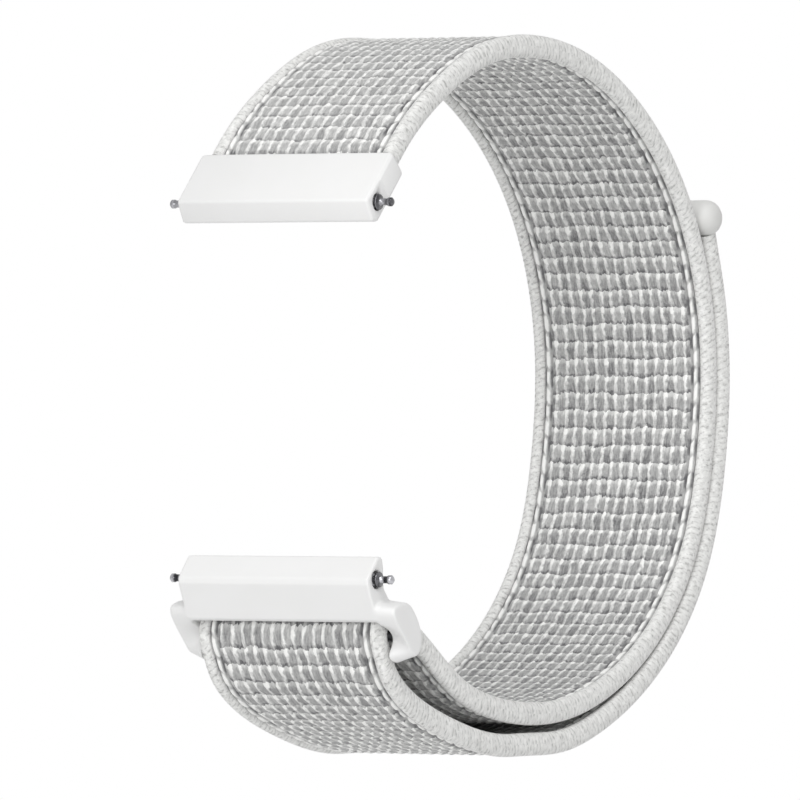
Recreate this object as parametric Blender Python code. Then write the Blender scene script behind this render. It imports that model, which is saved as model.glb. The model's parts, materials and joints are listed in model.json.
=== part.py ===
"""Hook and loop watch strap for 20 mm lugs, closed as a loop and standing upright.

The strap runs along Y and Z and is wide along X. The two adapters face -Y, where the watch
goes. All sizes are in metres. Heights and depths are first worked out from the point midway
between the two spring bars, and then moved so that the strap stands on Z = 0.
"""
import math

import bmesh
import bpy
import numpy as np
from mathutils import Vector

# Watch side
lug_width = 0.0200
lug_play = 0.0002
pin_spacing = 0.0330
fit_gap = 0.0003

# Strap
strap_inset = 0.0004
piping_width = 0.0012
piping_thickness = 0.0021
band_thickness = 0.0016
layer_gap = 0.00035
loop_reach = 0.0606
loop_shoulder = 0.0142
station_step = 0.0026
fine_step = 0.000325
normal_reach = 0.00065

# Spring bars
tube_radius = 0.00065
tube_bore_radius = 0.00047
tube_crimp_radius = 0.00034
tube_crimp_length = 0.0002
tube_inset = 0.0021
flange_radius = 0.00068
flange_thickness = 0.00022
flange_groove = 0.00025
flange_groove_radius = 0.00045
flange_stand_off = 0.00005
pivot_radius = 0.00040
pivot_neck_radius = 0.00032
pivot_length = 0.00135
pivot_head_length = 0.00055
stem_radius = 0.00028
stem_head_radius = 0.00041
stem_head_length = 0.0014
stem_head_gap = 0.00015
bar_clearance = 0.00010
spring_coil_radius = 0.00032
spring_wire_radius = 0.00008
spring_turns = 14
spring_gap = 0.00006

# Upper adapter
plate_lean_degrees = 45
plate_thickness = 0.0027
plate_length = 0.0050
plate_overhang = 0.0001
ear_set_back = 0.0001
plate_start = 0.0015
pocket_start = 0.0019
hem_run = 0.0006
knuckle_edge = 0.00035
rod_radius = 0.00030
rod_clearance = 0.00010
rod_place = 0.0034
rod_seat = 0.0010

# Lower adapter
lug_thickness = 0.0036
lug_front = 0.0017
lug_rise = 0.0020
lip_thickness = 0.00085
lip_angle_degrees = 160
arm_thickness = 0.0019
arm_reach = 0.0030
cross_bar_back = 0.0037
cross_bar_drop = 0.0049
cross_bar_radius = 0.00060
cross_bar_clearance = 0.00005
cross_bar_seat = 0.0014
wrap_clearance = 0.0002
edge_radius = 0.00025
weld_distance = 0.000001

# Tail end
bead_radius = 0.00165
bead_overhang = 0.0008
bead_edge = 0.0013
bead_socket_depth = 0.0015
tongue_thickness = 0.0010
hook_thickness = 0.00035
hook_gap = 0.00023
hook_margin = 0.0010
hinge_gap = 0.0003

# The loop's middle line as shares of its reach behind the bars and of its rise
loop_shares = [
    (0.097, 0.726), (0.197, 0.861), (0.339, 0.978), (0.485, 1.005), (0.625, 0.962),
    (0.765, 0.841), (0.880, 0.658), (0.964, 0.404), (1.000, 0.098), (0.990, -0.179),
    (0.944, -0.463), (0.845, -0.697), (0.707, -0.857), (0.551, -0.935), (0.387, -0.928),
    (0.255, -0.857), (0.158, -0.739),
]
# The tail's free stretch under the loop, as shares of the same sizes, flat where it stands
tail_shares = [
    (0.053, -0.793), (0.092, -0.865), (0.151, -0.923), (0.234, -0.976), (0.336, -1.0205),
    (0.3906, -1.0300), (0.4312, -1.0300), (0.4717, -1.0300), (0.5122, -1.0300),
    (0.570, -1.0210), (0.640, -0.989),
]
# Where the tail lies on the loop, as shares of the loop's length
touch_shares = [0.600, 0.567, 0.534, 0.501, 0.468, 0.444]
rise_share = 0.4170
last_share = 0.4095
# Where the tail bends when it is peeled off, as shares of its length
bend_shares = [0.0, 0.375, 0.665]
# Where the strap meets and leaves the cross bar
wrap_start_degrees = 62
wrap_end_degrees = 213

# How thin the strap's hem is pressed in the upper adapter's pocket
hem_share = 0.75

# The knuckle of the upper adapter, as shares of half its thickness along and across the plate
knuckle_shares = [(-0.833, 1.0), (-1.30, -0.50), (-0.80, -1.0)]
# An arm of the lower adapter round the cross bar, as shares of its reach
arm_shares = [
    (-1.22, 0.86), (-0.92, 0.60), (-0.62, 0.36), (-0.43, 0.12), (-0.36, -0.12),
    (-0.41, -0.36), (-0.52, -0.54), (-0.49, -0.70), (-0.30, -0.76), (-0.06, -0.69),
    (0.15, -0.47), (0.28, -0.16), (0.32, 0.14), (0.21, 0.46), (-0.02, 0.74),
    (-0.34, 0.96), (-0.74, 1.06), (-1.14, 1.05),
]

# Fineness and rounding
round_sides = 20
corner_steps = 4
bead_steps = 6
bevel_steps = 2
bevel_from_degrees = 50
smooth_below_degrees = 35
flat_corner_degrees = 85
corner_run_share = 0.49
piping_sides = 10
piping_power_share = 0.35
tip_round_share = 0.33
coil_sides = 8
wire_sides = 4


def clear_scene():
    for old in list(bpy.data.objects):
        bpy.data.objects.remove(old, do_unlink=True)


def material(name, colour, roughness, metallic):
    made = bpy.data.materials.new(name)
    made.use_nodes = True
    shader = made.node_tree.nodes["Principled BSDF"]
    shader.inputs["Base Color"].default_value = (*colour, 1)
    shader.inputs["Roughness"].default_value = roughness
    shader.inputs["Metallic"].default_value = metallic
    return made


def white_plastic(name):
    return material(name, (0.86, 0.86, 0.86), 0.45, 0)


def woven_nylon(name):
    return material(name, (0.62, 0.62, 0.62), 0.9, 0)


def piping_nylon(name):
    return material(name, (0.74, 0.74, 0.73), 0.8, 0)


def hook_tape(name):
    return material(name, (0.7, 0.7, 0.7), 0.7, 0)


def steel(name):
    return material(name, (0.62, 0.62, 0.62), 0.25, 1)


def heading(angle):
    return np.array([math.cos(angle), math.sin(angle)])


def spline(points, first_heading, last_heading):
    """A smooth curve through points with given end headings, as points a fine step apart."""
    points = np.array(points)
    chords = np.linalg.norm(np.diff(points, axis=0), axis=1)
    count = len(points)
    system = np.zeros((count, count))
    wanted = np.zeros((count, 2))
    system[0, 0] = 1
    system[-1, -1] = 1
    wanted[0] = heading(first_heading)
    wanted[-1] = heading(last_heading)
    for i in range(1, count - 1):
        before, after = chords[i - 1], chords[i]
        system[i, i - 1] = after
        system[i, i] = 2 * (before + after)
        system[i, i + 1] = before
        slope_before = (points[i] - points[i - 1]) / before
        slope_after = (points[i + 1] - points[i]) / after
        wanted[i] = 3 * (after * slope_before + before * slope_after)
    slopes = np.linalg.solve(system, wanted)
    found = [points[0]]
    for i, chord in enumerate(chords):
        steps = max(2, math.ceil(chord / fine_step))
        for k in range(1, steps + 1):
            t = k / steps
            found.append(
                (2 * t**3 - 3 * t**2 + 1) * points[i]
                + (t**3 - 2 * t**2 + t) * chord * slopes[i]
                + (3 * t**2 - 2 * t**3) * points[i + 1]
                + (t**3 - t**2) * chord * slopes[i + 1]
            )
    return np.array(found)


class Route:
    """A middle line in the YZ plane, read by the distance along it.

    Its outward side is the one away from the wrist: 1 is left of the way it runs, -1 right.
    """

    def __init__(self, points, outward_side):
        self.points = points
        self.side = outward_side
        steps = np.linalg.norm(np.diff(points, axis=0), axis=1)
        self.places = np.concatenate([[0], np.cumsum(steps)])
        self.length = self.places[-1]

    def at(self, place):
        return np.array([np.interp(place, self.places, self.points[:, k]) for k in (0, 1)])

    def outward(self, place):
        low = max(0, place - normal_reach)
        high = min(self.length, place + normal_reach)
        along = self.at(high) - self.at(low)
        along = along / np.linalg.norm(along)
        return self.side * np.array([-along[1], along[0]])

    def beside(self, place, offset):
        return self.at(place) + offset * self.outward(place)

    def nearest(self, point):
        return self.places[np.argmin(np.linalg.norm(self.points - point, axis=1))]


def join_points(*pieces):
    found = list(pieces[0])
    for piece in pieces[1:]:
        found += list(piece[1:])
    return np.array(found)


def arc(centre, radius, start, end, steps):
    turns = [start + (end - start) * k / steps for k in range(steps + 1)]
    return [centre + radius * heading(a) for a in turns]


def rounded(points, radius):
    """An outline with each corner rounded off."""
    found = []
    for i, corner in enumerate(points):
        back = points[i - 1] - corner
        ahead = points[(i + 1) % len(points)] - corner
        run = min(np.linalg.norm(back), np.linalg.norm(ahead)) * corner_run_share
        back = back / np.linalg.norm(back)
        ahead = ahead / np.linalg.norm(ahead)
        half = math.acos(np.clip(back @ ahead, -1, 1)) / 2
        if half > math.radians(flat_corner_degrees):
            found.append(corner)
            continue
        setback = min(radius / math.tan(half), run)
        for k in range(corner_steps + 1):
            t = k / corner_steps
            start = corner + setback * back
            end = corner + setback * ahead
            found.append((1 - t) ** 2 * start + 2 * t * (1 - t) * corner + t**2 * end)
    return found


# Places worked out from the sizes, from the point midway between the bars
lug_half = lug_width / 2 - lug_play
strap_half = lug_half - strap_inset
band_half = strap_half - piping_width - fit_gap
tube_half_length = lug_half - tube_inset
loop_rise = pin_spacing / 2 + loop_shoulder
plate_half = lug_half + plate_overhang
arm_inner = strap_half + fit_gap
arm_outer = arm_inner + arm_thickness
upper_pin = np.array([0, pin_spacing / 2])
lower_pin = np.array([0, -pin_spacing / 2])
cross_bar = lower_pin + np.array([cross_bar_back, -cross_bar_drop])
wrap_radius = cross_bar_radius + wrap_clearance + piping_thickness / 2
wrap_outer = wrap_radius + piping_thickness / 2
bar_bore_radius = tube_radius + bar_clearance + flange_stand_off
lean = math.radians(plate_lean_degrees)
plate_along = heading(lean)
plate_outward = heading(lean + math.pi / 2)
wrap_start = math.radians(wrap_start_degrees)
wrap_end = math.radians(wrap_end_degrees)
quarter = math.pi / 2


def on_plate(along, outward):
    return upper_pin + along * plate_along + outward * plate_outward


def loop_route():
    pocket = [
        on_plate(pocket_start + fit_gap, 0),
        on_plate(rod_place, 0),
        on_plate(plate_length, 0),
    ]
    points = [np.array([reach * loop_reach, rise * loop_rise]) for reach, rise in loop_shares]
    meets = cross_bar + wrap_radius * heading(wrap_start)
    curve = spline(pocket + points + [meets], lean, wrap_start + quarter)
    steps = math.ceil(wrap_radius * (wrap_end - wrap_start) / normal_reach)
    wrap = arc(cross_bar, wrap_radius, wrap_start, wrap_end, steps)
    return Route(join_points(curve, wrap), 1)


def tail_route(loop):
    spacing = piping_thickness + layer_gap
    leaves = cross_bar + wrap_radius * heading(wrap_end)
    free = [np.array([reach * loop_reach, rise * loop_rise]) for reach, rise in tail_shares]
    resting = [loop.beside(share * loop.length, spacing) for share in touch_shares]
    bead_offset = piping_thickness / 2 + fit_gap + bead_radius
    lifted = (spacing + bead_offset) / 2
    rising = loop.beside(rise_share * loop.length, lifted)
    last = loop.beside(last_share * loop.length, bead_offset)
    points = [leaves, *free, *resting, rising, last]
    way = last - rising
    return Route(spline(points, wrap_end + quarter, math.atan2(way[1], way[0])), -1)


loop = loop_route()
tail = tail_route(loop)
bead_place = tail.length
tail_stop = bead_place - bead_radius - hinge_gap
bends = [share * tail.length for share in bend_shares]


def upper_lug_outline():
    half = plate_thickness / 2
    corners = [on_plate(along * half, out * half) for along, out in knuckle_shares]
    corners += [on_plate(plate_length, -half), on_plate(plate_length, half)]
    return rounded(corners, knuckle_edge)


def upper_ears_outline():
    half = plate_thickness / 2 - ear_set_back
    top = plate_length - ear_set_back
    ends = [(plate_start, half), (plate_start, -half), (top, -half), (top, half)]
    return rounded([on_plate(along, out) for along, out in ends], knuckle_edge)


def lower_lug_outline():
    back = lug_thickness - lug_front
    seat = wrap_outer + fit_gap
    lip = math.radians(lip_angle_degrees)
    top = lower_pin[1] + lug_rise
    rise = math.acos(np.clip((back - cross_bar_back) / seat, -1, 1))
    under = arc(cross_bar, seat, lip, rise, 2 * corner_steps)
    nose = lug_front - lug_rise
    outline = [
        cross_bar + (seat + lip_thickness) * heading(lip),
        *under,
        np.array([back, top - lip_thickness]),
        np.array([back - lip_thickness, top]),
        np.array([nose + lip_thickness / 2, top]),
        np.array([-lug_front, lower_pin[1] + lug_rise - lug_front + nose / 2]),
        np.array([-lug_front, lower_pin[1] - lip_thickness / 2]),
    ]
    return rounded(outline, edge_radius)


def arm_outline():
    points = [cross_bar + arm_reach * np.array(share) for share in arm_shares]
    return rounded(points, arm_reach / 4)


upper_lug = upper_lug_outline()
upper_ears = upper_ears_outline()
lower_lug = lower_lug_outline()
lower_arm = arm_outline()

# The strap stands on the lowest line of its tail, with the middle of its depth at Y = 0
tail_edge = [tail.beside(place, piping_thickness / 2) for place in tail.places]
foot = min(point[1] for point in tail_edge)
front = min(point[0] for point in upper_lug + lower_lug + lower_arm)
back_edge = max(point[0] for point in tail_edge)
middle = (front + back_edge) / 2


def world(x, point):
    return Vector((x, point[0] - middle, point[1] - foot))


def finish(name, mesh, surface, origin):
    """An object from a mesh in world places, with its origin where it turns or seats."""
    holder = bpy.data.meshes.new(name)
    bmesh.ops.recalc_face_normals(mesh, faces=mesh.faces)
    bmesh.ops.translate(mesh, vec=-origin, verts=mesh.verts)
    mesh.to_mesh(holder)
    mesh.free()
    made = bpy.data.objects.new(name, holder)
    made.location = origin
    bpy.context.scene.collection.objects.link(made)
    if surface:
        holder.materials.append(surface)
        holder.shade_smooth()
        holder.set_sharp_from_angle(angle=math.radians(smooth_below_degrees))
    return made


def extruded(name, outline, low, high, surface, origin):
    mesh = bmesh.new()
    corners = [mesh.verts.new(world(low, point)) for point in outline]
    face = mesh.faces.new(corners)
    moved = bmesh.ops.extrude_face_region(mesh, geom=[face])["geom"]
    verts = [v for v in moved if isinstance(v, bmesh.types.BMVert)]
    bmesh.ops.translate(mesh, vec=(high - low, 0, 0), verts=verts)
    return finish(name, mesh, surface, origin)


def turned(name, profile, centre, surface, origin, closed):
    """A solid turned about a line along X. A closed profile has a bore, an open one none."""
    mesh = bmesh.new()
    rings = []
    for x, radius in profile:
        if radius == 0:
            rings.append([mesh.verts.new(world(x, centre))])
            continue
        turns = [2 * math.pi * k / round_sides for k in range(round_sides)]
        rings.append([mesh.verts.new(world(x, centre + radius * heading(a))) for a in turns])
    pairs = list(zip(rings, rings[1:]))
    if closed:
        pairs.append((rings[-1], rings[0]))
    for one, other in pairs:
        for k in range(round_sides):
            n = (k + 1) % round_sides
            if len(one) == 1:
                mesh.faces.new([one[0], other[n], other[k]])
            elif len(other) == 1:
                mesh.faces.new([one[k], one[n], other[0]])
            else:
                mesh.faces.new([one[k], one[n], other[n], other[k]])
    return finish(name, mesh, surface, origin)


def swept(name, route, places, section, surface, origin):
    """A section of (x, outward) points carried along a route. Each place may scale it."""
    mesh = bmesh.new()
    rings = []
    for place, scale in places:
        ring = [world(x, route.beside(place, out * scale)) for x, out in section]
        rings.append([mesh.verts.new(point) for point in ring])
    for one, other in zip(rings, rings[1:]):
        for k in range(len(section)):
            n = (k + 1) % len(section)
            mesh.faces.new([one[k], one[n], other[n], other[k]])
    mesh.faces.new(rings[0])
    mesh.faces.new(rings[-1])
    return finish(name, mesh, surface, origin)


def change(target, tool, operation):
    tool.hide_render = True
    tool.display_type = "WIRE"
    step = target.modifiers.new(operation.lower(), "BOOLEAN")
    step.operation = operation
    step.solver = "EXACT"
    step.object = tool


def soften(target, width):
    step = target.modifiers.new("soft edges", "BEVEL")
    step.width = width
    step.segments = bevel_steps
    step.limit_method = "ANGLE"
    step.angle_limit = math.radians(bevel_from_degrees)
    step.use_clamp_overlap = True
    tidy = target.modifiers.new("joined corners", "WELD")
    tidy.merge_threshold = weld_distance


def cylinder_cutter(name, centre, radius, low, high):
    profile = [(low, 0), (low, radius), (high, radius), (high, 0)]
    return turned(name, profile, centre, None, world(0, centre), False)


def stations(start, end):
    count = max(2, math.ceil((end - start) / station_step))
    return [(start + (end - start) * k / count, 1) for k in range(count + 1)]


def band_section():
    half = band_thickness / 2
    edge = half / 2
    return [
        (-band_half, -edge), (edge - band_half, -half), (band_half - edge, -half),
        (band_half, -edge), (band_half, edge), (band_half - edge, half),
        (edge - band_half, half), (-band_half, edge),
    ]


def piping_section(side):
    """A cord pressed flat against the band's edge."""
    wide = piping_width / 2
    tall = piping_thickness / 2
    middle_x = side * (strap_half - wide)
    found = []
    for k in range(piping_sides):
        turn = heading(math.pi * (2 * k + 1) / piping_sides)
        reach = max(abs(turn[0]), abs(turn[1])) ** piping_power_share
        found.append((middle_x + wide * turn[0] / reach, tall * turn[1] / reach))
    widest = max(abs(x - middle_x) for x, out in found)
    tallest = max(abs(out) for x, out in found)
    return [
        (middle_x + (x - middle_x) * wide / widest, out * tall / tallest) for x, out in found
    ]


def strap_stretch(name, route, start, end, origin, band_places=None):
    """One stretch of the strap: its woven band and a piping along each edge."""
    places = band_places or stations(start, end)
    band = swept(f"{name}_band", route, places, band_section(), woven_nylon(name), origin)
    for side, word in ((-1, "left"), (1, "right")):
        piping = f"{name}_piping_{word}"
        section = piping_section(side)
        swept(piping, route, stations(start, end), section, piping_nylon(piping), origin)
    return band


def fixed_strap():
    mouth = loop.nearest(on_plate(plate_length, 0)) + fit_gap
    end = loop.length - hinge_gap / 2
    hem = [(place, hem_share) for place, scale in stations(0, mouth)]
    places = hem + stations(mouth + hem_run, end)
    band = strap_stretch("strap_loop", loop, mouth, end, world(0, cross_bar), places)
    rod = on_plate(rod_place, 0)
    reach = band_half + fit_gap
    hole = cylinder_cutter("hem_cutter", rod, rod_radius + rod_clearance, -reach, reach)
    change(band, hole, "DIFFERENCE")


def tail_strap():
    names = ["tail_lower", "tail_middle", "tail_end"]
    ends = [bends[1] - hinge_gap / 2, bends[2] - hinge_gap / 2, tail_stop]
    for name, bend, end in zip(names, bends, ends):
        start = bend + hinge_gap / 2
        origin = world(0, tail.beside(bend, piping_thickness / 2))
        places = None
        if end == tail_stop:
            thin = tongue_thickness / band_thickness
            tongue_end = bead_place - bead_radius + bead_socket_depth - fit_gap
            places = stations(start, end) + [(end, thin), (tongue_end, thin)]
        strap_stretch(name, tail, start, end, origin, places)


def hook_patch():
    """The hook tape on the inner face of the tail, which grips the loop's outer face."""
    start = bends[2] + hinge_gap + hook_margin
    end = tail_stop - hook_margin
    out = band_thickness / 2 + hook_gap
    half = band_half - hook_margin
    section = [(-half, -out - hook_thickness), (half, -out - hook_thickness), (half, -out),
               (-half, -out)]
    origin = world(0, tail.beside(bends[2], piping_thickness / 2))
    surface = hook_tape("hook_patch")
    swept("hook_patch", tail, stations(start, end), section, surface, origin)


def tail_bead():
    """The round end stop, too thick to slip back through the slot."""
    half = strap_half + bead_overhang
    centre = tail.at(bead_place)
    turns = [quarter * k / bead_steps for k in range(bead_steps + 1)]
    round_end = [
        (half - bead_edge * (1 - math.sin(a)), bead_radius - bead_edge * (1 - math.cos(a)))
        for a in turns
    ]
    profile = [(half, 0)] + [p for p in reversed(round_end)]
    profile += [(-x, radius) for x, radius in round_end] + [(-half, 0)]
    surface = white_plastic("tail_bead")
    origin = world(0, tail.beside(bends[2], piping_thickness / 2))
    bead = turned("tail_bead", profile, centre, surface, origin, False)
    along = heading(math.atan2(*reversed(tail.at(tail.length) - tail.at(tail_stop))))
    across = np.array([-along[1], along[0]])
    thick = tongue_thickness / 2 + fit_gap
    inner = centre - (bead_radius - bead_socket_depth) * along
    outer = centre - 2 * bead_radius * along
    outline = [inner - thick * across, inner + thick * across, outer + thick * across,
               outer - thick * across]
    reach = band_half + fit_gap
    socket = extruded("socket_cutter", outline, -reach, reach, None, origin)
    change(bead, socket, "DIFFERENCE")


def upper_adapter():
    origin = world(0, upper_pin)
    surface = white_plastic("upper_adapter")
    body = extruded("upper_adapter", upper_lug, -lug_half, lug_half, surface, origin)
    soften(body, edge_radius)
    ears = extruded("upper_ears", upper_ears, -plate_half, plate_half, None, origin)
    soften(ears, edge_radius)
    change(body, ears, "UNION")
    beyond = lug_half + plate_overhang + fit_gap
    bore = cylinder_cutter("upper_bore_cutter", upper_pin, bar_bore_radius, -beyond, beyond)
    change(body, bore, "DIFFERENCE")
    thick = hem_share * band_thickness / 2 + fit_gap
    reach = band_half + fit_gap
    ends = [(pocket_start, thick), (pocket_start, -thick),
            (plate_length + fit_gap, -thick), (plate_length + fit_gap, thick)]
    outline = [on_plate(along, out) for along, out in ends]
    pocket = extruded("pocket_cutter", outline, -reach, reach, None, origin)
    change(body, pocket, "DIFFERENCE")
    rod = on_plate(rod_place, 0)
    deep = reach + rod_seat
    seat = cylinder_cutter("rod_seat_cutter", rod, rod_radius + rod_clearance, -deep, deep)
    change(body, seat, "DIFFERENCE")
    length = deep - rod_clearance
    profile = [(-length, 0), (-length, rod_radius), (length, rod_radius), (length, 0)]
    turned("retaining_rod", profile, rod, steel("retaining_rod"), origin, False)


def lower_adapter():
    origin = world(0, cross_bar)
    surface = white_plastic("lower_adapter")
    body = extruded("lower_adapter", lower_lug, -lug_half, lug_half, surface, origin)
    soften(body, edge_radius)
    for side, word in ((-1, "left"), (1, "right")):
        low, high = sorted((side * arm_inner, side * arm_outer))
        arm = extruded(f"{word}_arm", lower_arm, low, high, None, origin)
        soften(arm, edge_radius)
        change(body, arm, "UNION")
    beyond = arm_outer + fit_gap
    bore = cylinder_cutter("lower_bore_cutter", lower_pin, bar_bore_radius, -beyond, beyond)
    change(body, bore, "DIFFERENCE")
    deep = arm_inner + cross_bar_seat
    seat_radius = cross_bar_radius + cross_bar_clearance
    seat = cylinder_cutter("bar_seat_cutter", cross_bar, seat_radius, -deep, deep)
    change(body, seat, "DIFFERENCE")
    length = deep - cross_bar_clearance
    profile = [(-length, 0), (-length, cross_bar_radius), (length, cross_bar_radius), (length, 0)]
    turned("cross_bar", profile, cross_bar, steel("cross_bar"), origin, False)


def bar_tube(name, pin):
    end = tube_half_length
    crimp = end - tube_crimp_length
    profile = [
        (-end, tube_crimp_radius), (-end, tube_radius), (end, tube_radius),
        (end, tube_crimp_radius), (crimp, tube_crimp_radius), (crimp, tube_bore_radius),
        (-crimp, tube_bore_radius), (-crimp, tube_crimp_radius),
    ]
    turned(name, profile, pin, steel(name), world(0, pin), True)


def plunger_profile():
    """From the head inside the tube, through the two flanges, to the tip of the pivot."""
    shoulder = lug_half + flange_stand_off
    outer = shoulder + flange_thickness
    groove = shoulder - flange_groove
    inner = groove - flange_thickness
    neck_end = outer + pivot_length - pivot_head_length
    tip = outer + pivot_length
    head = tube_half_length - tube_crimp_length - stem_head_gap
    round_off = pivot_radius * tip_round_share
    return [
        (head - stem_head_length, 0), (head - stem_head_length, stem_head_radius),
        (head, stem_head_radius), (head, stem_radius), (inner, stem_radius),
        (inner, flange_radius), (groove, flange_radius), (groove, flange_groove_radius),
        (shoulder, flange_groove_radius), (shoulder, flange_radius), (outer, flange_radius),
        (outer, pivot_neck_radius), (neck_end, pivot_neck_radius),
        (neck_end + round_off, pivot_radius), (tip - round_off, pivot_radius),
        (tip, pivot_radius - round_off), (tip, 0),
    ]


def plunger(name, pin, side):
    profile = [(side * x, radius) for x, radius in plunger_profile()]
    shoulder = side * (lug_half + flange_stand_off)
    turned(name, profile, pin, steel(name), world(shoulder, pin), False)


def bar_spring(name, pin):
    """The coil that pushes the two plungers apart inside the tube."""
    head = tube_half_length - tube_crimp_length - stem_head_gap - stem_head_length
    half = head - spring_gap - spring_wire_radius
    count = spring_turns * coil_sides
    mesh = bmesh.new()
    rings = []
    for k in range(count + 1):
        turn = 2 * math.pi * k / coil_sides
        x = -half + 2 * half * k / count
        ring = []
        for side in range(wire_sides):
            lift = spring_wire_radius * heading(2 * math.pi * side / wire_sides)
            point = pin + (spring_coil_radius + lift[1]) * heading(turn)
            ring.append(mesh.verts.new(world(x + lift[0], point)))
        rings.append(ring)
    for one, other in zip(rings, rings[1:]):
        for side in range(wire_sides):
            n = (side + 1) % wire_sides
            mesh.faces.new([one[side], one[n], other[n], other[side]])
    mesh.faces.new(rings[0])
    mesh.faces.new(rings[-1])
    pitch = 2 * half / spring_turns
    print(f"{name}: least gap between turns {(pitch - 2 * spring_wire_radius) * 1000:.2f} mm")
    finish(name, mesh, steel(name), world(0, pin))


def spring_bar(word, pin):
    bar_tube(f"{word}_bar_tube", pin)
    bar_spring(f"{word}_bar_spring", pin)
    plunger(f"{word}_bar_plunger_left", pin, -1)
    plunger(f"{word}_bar_plunger_right", pin, 1)


clear_scene()
fixed_strap()
tail_strap()
hook_patch()
tail_bead()
upper_adapter()
lower_adapter()
spring_bar("upper", upper_pin)
spring_bar("lower", lower_pin)
for name, point in (("upper pin", upper_pin), ("lower pin", lower_pin), ("cross bar", cross_bar)):
    print(name, [round(v, 6) for v in world(0, point)])
for bend in bends:
    print("bend", [round(v, 6) for v in world(0, tail.beside(bend, piping_thickness / 2))])
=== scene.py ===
import json
import math

import bpy
import numpy as np
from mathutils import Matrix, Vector

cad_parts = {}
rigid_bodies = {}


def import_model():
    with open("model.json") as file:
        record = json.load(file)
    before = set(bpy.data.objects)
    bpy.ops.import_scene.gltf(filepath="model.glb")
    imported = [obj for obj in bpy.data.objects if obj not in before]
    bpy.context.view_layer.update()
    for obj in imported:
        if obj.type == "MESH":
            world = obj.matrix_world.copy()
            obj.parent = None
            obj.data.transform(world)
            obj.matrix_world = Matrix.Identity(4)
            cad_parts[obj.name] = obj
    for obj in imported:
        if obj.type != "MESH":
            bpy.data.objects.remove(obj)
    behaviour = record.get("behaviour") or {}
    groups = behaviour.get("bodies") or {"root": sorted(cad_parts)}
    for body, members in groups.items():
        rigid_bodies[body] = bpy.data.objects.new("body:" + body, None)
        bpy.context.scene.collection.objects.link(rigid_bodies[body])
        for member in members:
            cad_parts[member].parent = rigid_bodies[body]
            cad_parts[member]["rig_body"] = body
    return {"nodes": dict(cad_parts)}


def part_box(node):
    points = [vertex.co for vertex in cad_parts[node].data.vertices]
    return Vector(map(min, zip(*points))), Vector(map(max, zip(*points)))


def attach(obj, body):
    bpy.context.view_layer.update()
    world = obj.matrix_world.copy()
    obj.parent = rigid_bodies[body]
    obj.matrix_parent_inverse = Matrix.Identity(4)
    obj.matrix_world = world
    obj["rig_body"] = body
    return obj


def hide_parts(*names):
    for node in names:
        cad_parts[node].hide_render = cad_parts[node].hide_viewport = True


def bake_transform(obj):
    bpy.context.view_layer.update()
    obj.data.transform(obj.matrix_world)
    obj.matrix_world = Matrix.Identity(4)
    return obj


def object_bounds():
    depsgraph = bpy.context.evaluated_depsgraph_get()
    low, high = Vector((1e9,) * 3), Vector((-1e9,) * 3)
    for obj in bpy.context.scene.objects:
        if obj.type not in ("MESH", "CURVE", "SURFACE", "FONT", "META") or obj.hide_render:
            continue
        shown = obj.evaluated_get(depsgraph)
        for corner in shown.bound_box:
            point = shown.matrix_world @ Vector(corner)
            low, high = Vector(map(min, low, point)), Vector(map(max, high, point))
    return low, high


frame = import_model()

# a hook and loop watch strap. Lengths are in metres where a comment doesn't say otherwise

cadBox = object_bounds()
quarter = math.pi / 2
print("frame loaded:", len(frame["nodes"]), "nodes")

# the camera is placed from the upper spring bar, as far away as the photograph's was
cameraSettings = {
    "azimuth": 31,  # degrees round the strap from straight in front of the adapters
    "distance": 1.0,
    "right": 0.0105,  # of the bars' middle, in metres
    "down": 0.0173,  # below the upper bar
    "behind": -0.0002,
    "pixelsPerMetre": 11390,
    "photoWidth": 800,
    "sensor": 36,
}


def boxMiddle(node):
    low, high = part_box(node)
    return (low + high) / 2


def addCamera(settings):
    turn = math.radians(settings["azimuth"])
    right = Vector((math.cos(turn), math.sin(turn), 0))
    back = Vector((math.sin(turn), -math.cos(turn), 0))
    target = boxMiddle("upper_bar_tube") + Vector((0, settings["behind"], -settings["down"]))
    place = target + settings["right"] * right + settings["distance"] * back
    bpy.ops.object.camera_add(location=place)
    camera = bpy.context.object
    camera.name = "studioCamera"
    camera.rotation_mode = "QUATERNION"
    camera.rotation_quaternion = (-back).to_track_quat("-Z", "Y")
    share = settings["pixelsPerMetre"] * settings["distance"] / settings["photoWidth"]
    camera.data.lens = settings["sensor"] * share
    camera.data.sensor_width = settings["sensor"]
    camera.data.clip_start = 0.05
    camera.data.clip_end = 20
    bpy.context.scene.camera = camera


addCamera(cameraSettings)
print("camera placed")

# the strap's middle line, the same line that the frame was made on


def heading(angle):
    return np.array([math.cos(angle), math.sin(angle)])


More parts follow.
